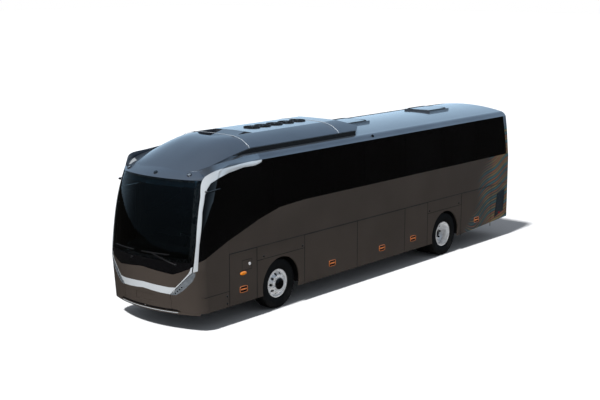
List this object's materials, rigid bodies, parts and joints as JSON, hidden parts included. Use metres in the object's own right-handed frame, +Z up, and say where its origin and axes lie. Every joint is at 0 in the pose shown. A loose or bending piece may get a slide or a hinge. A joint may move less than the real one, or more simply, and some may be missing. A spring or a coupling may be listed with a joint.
{
  "type": "coach bus",
  "caption": "High-floor touring coach with a bowed raked front, roof air conditioning, side luggage flaps, swing-out entrance door and twin rear wheels.",
  "frame": {"origin": "on the ground, at the middle of the coach's outline", "axes": "+X to the coach's left side, -Y to its front, +Z up"},
  "size_m": [2.6316, 11.8499, 3.6199],
  "materials": {
    "coach_paint": "metallic taupe",
    "silver_paint": "metallic silver",
    "black_glass": "dark tinted",
    "screen_glass": "tinted",
    "gloss_black": "gloss",
    "clear_lens": "clear",
    "red_lens": "gloss",
    "black_plastic": "matt",
    "frame_steel": "satin black",
    "cast_iron": "cast",
    "tyre": "matt",
    "wheel_aluminium": "polished",
    "seat_fabric": "woven",
    "wheel_grip": "smooth"
  },
  "bodies": {
    "coach": {"ac_fans": "black_plastic", "ac_housing": "coach_paint", "axles": "cast_iron", "bay_floors": "frame_steel", "body_glass": "black_glass", "bulkheads": "frame_steel", "cabin_floor": "frame_steel", "camera_pods": "black_plastic", "chassis_frame": "frame_steel", "dashboard": "black_plastic", "engine_block": "cast_iron", "entrance_steps": "black_plastic", "front_band": "silver_paint", "front_bumper": "coach_paint", "front_dome": "coach_paint", "front_frame": "frame_steel", "front_hood": "coach_paint", "front_mask": "gloss_black", "grilles": "black_plastic", "headlamps": "clear_lens", "hinge_strips": "black_plastic", "lower_panels": "coach_paint", "rear_bumper": "coach_paint", "rear_wall": "coach_paint", "roof_rails": "black_plastic", "roof_shell": "coach_paint", "seats": "seat_fabric", "side_stripes": "silver_paint", "side_wall_left": "coach_paint", "side_wall_right": "coach_paint", "tail_lamps": "red_lens", "windscreen": "screen_glass", "wipers": "black_plastic"},
    "front_knuckle_left": {"front_knuckle_left": "cast_iron"},
    "front_knuckle_right": {"front_knuckle_right": "cast_iron"},
    "front_wheel_left": {"front_rim_left": "wheel_aluminium", "front_tyre_left": "tyre"},
    "front_wheel_right": {"front_rim_right": "wheel_aluminium", "front_tyre_right": "tyre"},
    "rear_wheels_left": {"rear_rims_left": "wheel_aluminium", "rear_tyres_left": "tyre"},
    "rear_wheels_right": {"rear_rims_right": "wheel_aluminium", "rear_tyres_right": "tyre"},
    "steering_wheel": {"steering_wheel": "wheel_grip"},
    "door_arm": {"door_arm": "frame_steel"},
    "passenger_door": {"passenger_door": "coach_paint", "passenger_door_glass": "black_glass"},
    "engine_lid": {"engine_lid": "coach_paint"},
    "roof_hatch_front": {"roof_hatch_front": "coach_paint"},
    "roof_hatch_rear": {"roof_hatch_rear": "coach_paint"},
    "flap_locker_left": {"flap_locker_left": "coach_paint"},
    "flap_luggage_front_left": {"flap_luggage_front_left": "coach_paint"},
    "flap_luggage_rear_left": {"flap_luggage_rear_left": "coach_paint"},
    "flap_service_left": {"flap_service_left": "coach_paint"},
    "flap_engine_left": {"flap_engine_left": "coach_paint"},
    "flap_locker_right": {"flap_locker_right": "coach_paint"},
    "flap_luggage_front_right": {"flap_luggage_front_right": "coach_paint"},
    "flap_luggage_rear_right": {"flap_luggage_rear_right": "coach_paint"},
    "flap_service_right": {"flap_service_right": "coach_paint"},
    "flap_engine_right": {"flap_engine_right": "coach_paint"}
  },
  "joints": [
    {"name": "steer_left", "type": "hinge", "parent": "coach", "child": "front_knuckle_left", "pos_m": [0.905, -3.248, 0.52], "axis": [0, 0, 1], "range_deg": [-40, 40]},
    {"name": "steer_right", "type": "hinge", "parent": "coach", "child": "front_knuckle_right", "pos_m": [-0.905, -3.248, 0.52], "axis": [0, 0, 1], "range_deg": [-40, 40]},
    {"name": "front_wheel_left_spin", "type": "hinge", "parent": "front_knuckle_left", "child": "front_wheel_left", "pos_m": [1.05, -3.248, 0.52], "axis": [1, 0, 0], "continuous": true},
    {"name": "front_wheel_right_spin", "type": "hinge", "parent": "front_knuckle_right", "child": "front_wheel_right", "pos_m": [-1.05, -3.248, 0.52], "axis": [1, 0, 0], "continuous": true},
    {"name": "rear_wheels_left_spin", "type": "hinge", "parent": "coach", "child": "rear_wheels_left", "pos_m": [0.92, 2.907, 0.52], "axis": [1, 0, 0], "continuous": true},
    {"name": "rear_wheels_right_spin", "type": "hinge", "parent": "coach", "child": "rear_wheels_right", "pos_m": [-0.92, 2.907, 0.52], "axis": [1, 0, 0], "continuous": true},
    {"name": "steering_wheel_turn", "type": "hinge", "parent": "coach", "child": "steering_wheel", "pos_m": [0.64, -5.285, 1.79], "axis": [0, 0.4695, 0.8829], "range_deg": [-720, 720]},
    {"name": "door_swing", "type": "hinge", "parent": "coach", "child": "door_arm", "pos_m": [-1.14, -5.33, 0.9], "axis": [0, 0, 1], "range_deg": [0, 120]},
    {"name": "door_leaf_turn", "type": "hinge", "parent": "door_arm", "child": "passenger_door", "pos_m": [-1.14, -4.91, 0.9], "axis": [0, 0, 1], "range_deg": [-120, 0]},
    {"name": "flap_locker_left_lift", "type": "hinge", "parent": "coach", "child": "flap_locker_left", "pos_m": [1.2713, -4.4, 1.431], "axis": [0, -1, 0], "range_deg": [0, 80]},
    {"name": "flap_luggage_front_left_lift", "type": "hinge", "parent": "coach", "child": "flap_luggage_front_left", "pos_m": [1.2713, -1.5825, 1.431], "axis": [0, -1, 0], "range_deg": [0, 80]},
    {"name": "flap_luggage_rear_left_lift", "type": "hinge", "parent": "coach", "child": "flap_luggage_rear_left", "pos_m": [1.2713, 0.2515, 1.431], "axis": [0, -1, 0], "range_deg": [0, 80]},
    {"name": "flap_service_left_lift", "type": "hinge", "parent": "coach", "child": "flap_service_left", "pos_m": [1.2713, 1.6435, 1.431], "axis": [0, -1, 0], "range_deg": [0, 80]},
    {"name": "flap_engine_left_lift", "type": "hinge", "parent": "coach", "child": "flap_engine_left", "pos_m": [1.2713, 4.331, 1.431], "axis": [0, -1, 0], "range_deg": [0, 80]},
    {"name": "flap_locker_right_lift", "type": "hinge", "parent": "coach", "child": "flap_locker_right", "pos_m": [-1.2713, -4.4, 1.431], "axis": [0, 1, 0], "range_deg": [0, 80]},
    {"name": "flap_luggage_front_right_lift", "type": "hinge", "parent": "coach", "child": "flap_luggage_front_right", "pos_m": [-1.2713, -1.5825, 1.431], "axis": [0, 1, 0], "range_deg": [0, 80]},
    {"name": "flap_luggage_rear_right_lift", "type": "hinge", "parent": "coach", "child": "flap_luggage_rear_right", "pos_m": [-1.2713, 0.2515, 1.431], "axis": [0, 1, 0], "range_deg": [0, 80]},
    {"name": "flap_service_right_lift", "type": "hinge", "parent": "coach", "child": "flap_service_right", "pos_m": [-1.2713, 1.6435, 1.431], "axis": [0, 1, 0], "range_deg": [0, 80]},
    {"name": "flap_engine_right_lift", "type": "hinge", "parent": "coach", "child": "flap_engine_right", "pos_m": [-1.2713, 4.331, 1.431], "axis": [0, 1, 0], "range_deg": [0, 80]},
    {"name": "engine_lid_lift", "type": "hinge", "parent": "coach", "child": "engine_lid", "pos_m": [0, 5.9213, 1.964], "axis": [1, 0, 0], "range_deg": [0, 75]},
    {"name": "roof_hatch_front_lift", "type": "hinge", "parent": "coach", "child": "roof_hatch_front", "pos_m": [0, 0.1, 3.395], "axis": [1, 0, 0], "range_deg": [0, 25]},
    {"name": "roof_hatch_rear_lift", "type": "hinge", "parent": "coach", "child": "roof_hatch_rear", "pos_m": [0, 3.47, 3.395], "axis": [1, 0, 0], "range_deg": [0, 25]}
  ],
  "couplings": [
    {"joint": "steer_right", "follows": "steer_left", "ratio": 1},
    {"joint": "steering_wheel_turn", "follows": "steer_left", "ratio": 18},
    {"joint": "door_leaf_turn", "follows": "door_swing", "ratio": -1}
  ]
}
